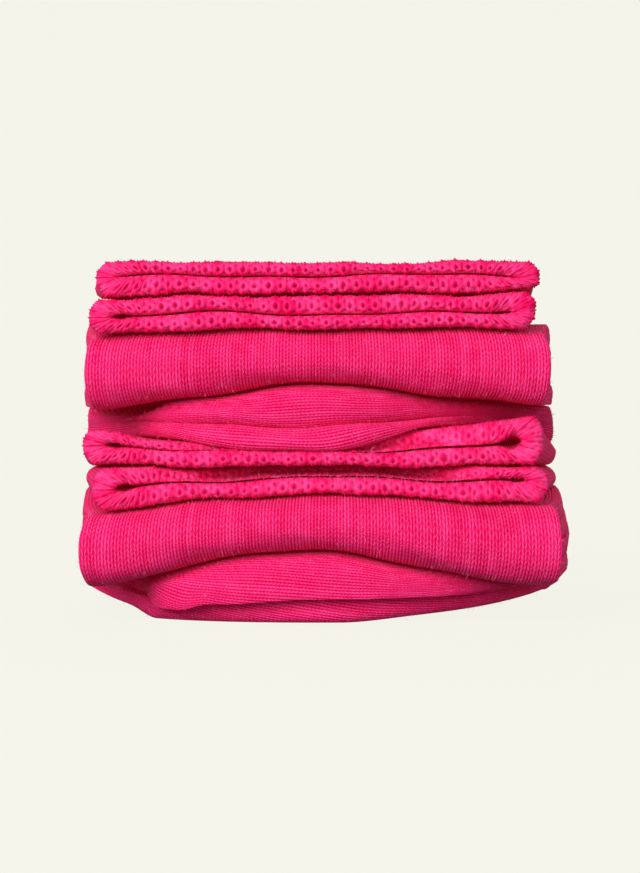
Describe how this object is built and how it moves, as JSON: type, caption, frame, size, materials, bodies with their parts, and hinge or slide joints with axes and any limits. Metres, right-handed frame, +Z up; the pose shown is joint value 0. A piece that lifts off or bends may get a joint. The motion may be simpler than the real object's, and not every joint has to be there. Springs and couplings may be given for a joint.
{
  "type": "stack of folded knitted socks",
  "caption": "Stack of folded hot pink knitted socks: open flattened cuffs over rounded leg folds, with the feet tucked below.",
  "frame": {"origin": "centre of the bounding box on the plane that the stack rests on", "axes": "+Z up; +Y from the open cuffs towards the back folds; +X to the right seen from the cuffs"},
  "size_m": [0.1, 0.106, 0.07],
  "materials": {
    "cuff_knit": "matt soft cotton knit, turned welt edge",
    "leg_knit": "matt soft cotton knit with fine wales",
    "foot_knit": "matt soft cotton knit with fine wales"
  },
  "bodies": {
    "root": {"lower_top_cuff": "cuff_knit", "lower_under_cuff": "cuff_knit", "lower_folded_legs": "leg_knit", "lower_top_foot": "foot_knit", "lower_under_foot": "foot_knit", "upper_top_cuff": "cuff_knit", "upper_under_cuff": "cuff_knit", "upper_folded_legs": "leg_knit", "upper_top_foot": "foot_knit", "upper_under_foot": "foot_knit"}
  },
  "joints": []
}
